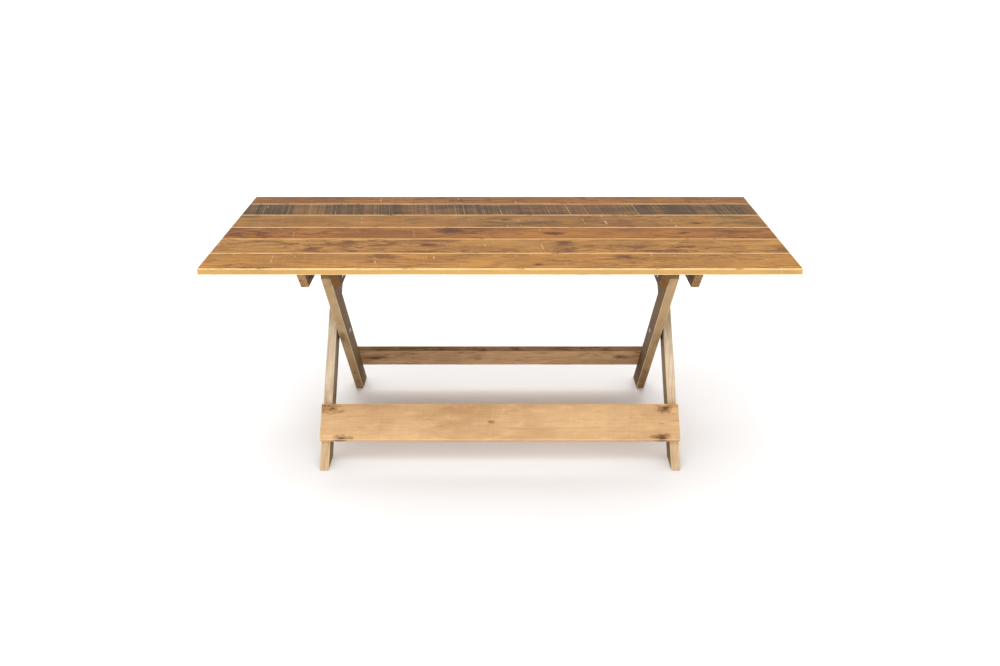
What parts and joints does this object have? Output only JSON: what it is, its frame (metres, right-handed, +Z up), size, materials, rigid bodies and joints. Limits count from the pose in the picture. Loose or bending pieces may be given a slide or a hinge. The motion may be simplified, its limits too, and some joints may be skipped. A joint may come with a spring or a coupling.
{
  "type": "folding picnic table",
  "caption": "Folding wooden picnic table with a plank top on crossed legs, two long stretchers, cross bolts and a hinged top that lifts as the legs close.",
  "frame": {"origin": "on the floor, under the middle of the table top", "axes": "+X along the table's length, +Y across it towards the back, where the rear stretcher is, +Z up"},
  "size_m": [1.9, 0.88, 0.75],
  "materials": {
    "top_wood": "oiled reclaimed boards, satin",
    "leg_wood": "dry weathered timber, matt",
    "stretcher_wood": "sanded board, satin",
    "zinc_steel": "zinc plated, satin",
    "screw_steel": "dull plated steel"
  },
  "bodies": {
    "inner_frame": {"inner_leg_left": "leg_wood", "inner_leg_right": "leg_wood", "rear_stretcher": "stretcher_wood", "rear_stretcher_screws": "screw_steel", "cross_bolts": "zinc_steel", "cross_spacers": "zinc_steel", "cross_washers": "zinc_steel", "cross_nuts": "zinc_steel", "hinge_bolts": "zinc_steel", "hinge_spacers": "zinc_steel", "hinge_washers": "zinc_steel", "hinge_nuts": "zinc_steel"},
    "outer_frame": {"outer_leg_left": "leg_wood", "outer_leg_right": "leg_wood", "front_stretcher": "stretcher_wood", "front_stretcher_screws": "screw_steel"},
    "table_top": {"top_plank_1": "top_wood", "top_plank_2": "top_wood", "top_plank_3": "top_wood", "top_plank_4": "top_wood", "top_plank_5": "top_wood", "top_plank_6": "top_wood", "inner_batten_left": "leg_wood", "inner_batten_right": "leg_wood", "outer_batten_left": "leg_wood", "outer_batten_right": "leg_wood", "stop_block_left": "leg_wood", "stop_block_right": "leg_wood", "batten_screws_left": "screw_steel", "batten_screws_right": "screw_steel", "stop_block_screws": "screw_steel"}
  },
  "joints": [
    {"name": "top_hinge", "type": "hinge", "parent": "inner_frame", "child": "table_top", "pos_m": [0, -0.2985, 0.688], "axis": [1, 0, 0], "range_deg": [0, 42]},
    {"name": "cross_pivot", "type": "hinge", "parent": "inner_frame", "child": "outer_frame", "pos_m": [0, 0, 0.364], "axis": [1, 0, 0], "range_deg": [0, 84]}
  ],
  "couplings": [
    {"joint": "cross_pivot", "follows": "top_hinge", "ratio": 2}
  ]
}
